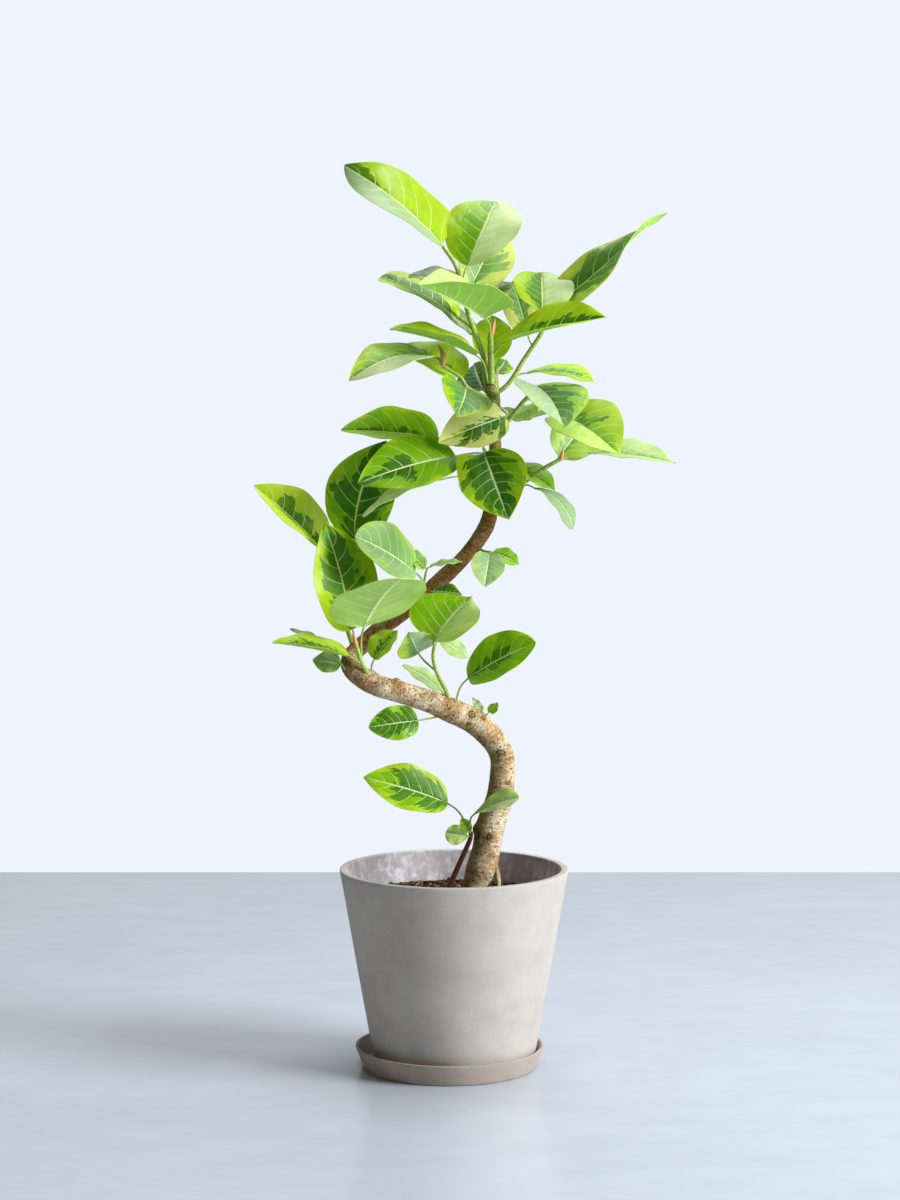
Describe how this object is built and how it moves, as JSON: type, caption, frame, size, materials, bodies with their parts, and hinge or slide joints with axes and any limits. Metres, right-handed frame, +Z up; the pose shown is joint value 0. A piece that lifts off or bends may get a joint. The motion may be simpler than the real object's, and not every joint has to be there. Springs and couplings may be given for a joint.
{
  "type": "potted council tree",
  "caption": "Variegated fig tree with an S-bent trunk, broad leaves on short stems, in a tapered grey pot on a saucer.",
  "frame": {"origin": "on the pot's axis, on the floor, in the saucer's flat underside", "axes": "+Z up along the plant's height; -Y is the front, which shows most leaves; +X is to the right seen from the front"},
  "size_m": [0.4516, 0.25, 0.9801],
  "materials": {
    "pot_plastic": "matt moulded, concrete grey",
    "saucer_plastic": "matt moulded, concrete grey, a little warmer than the pot",
    "potting_mix": "dark crumbly peat with bark chips",
    "bark": "thin beige-grey bark with dark specks and rings, greener towards the top",
    "foliage": "leathery glossy leaf, dark green middle, lime to cream margin, pale veins, sage-green underside"
  },
  "bodies": {
    "root": {"leaf_cream_front": "foliage", "leaf_crown_back": "foliage", "leaf_crown_low_left": "foliage", "leaf_crown_stub": "foliage", "leaf_elbow_end": "foliage", "leaf_elbow_small": "foliage", "leaf_elbow_top": "foliage", "leaf_hanging_front": "foliage", "leaf_inner_small": "foliage", "leaf_left_high": "foliage", "leaf_left_long": "foliage", "leaf_left_narrow": "foliage", "leaf_limb_back": "foliage", "leaf_limb_right": "foliage", "leaf_limb_under": "foliage", "pot": "pot_plastic", "saucer": "saucer_plastic", "soil": "potting_mix", "sprig_bend": "foliage", "sprig_inner_left": "foliage", "sprig_inner_right": "foliage", "stem_crown_left": "foliage", "stem_crown_right": "foliage", "stem_elbow_back": "foliage", "stem_elbow_front": "foliage", "stem_limb": "foliage", "stem_lower_right": "foliage", "stem_middle_right": "foliage", "stem_side": "foliage", "stem_upper_left": "foliage", "stem_upper_right": "foliage", "trunk": "bark"}
  },
  "joints": []
}
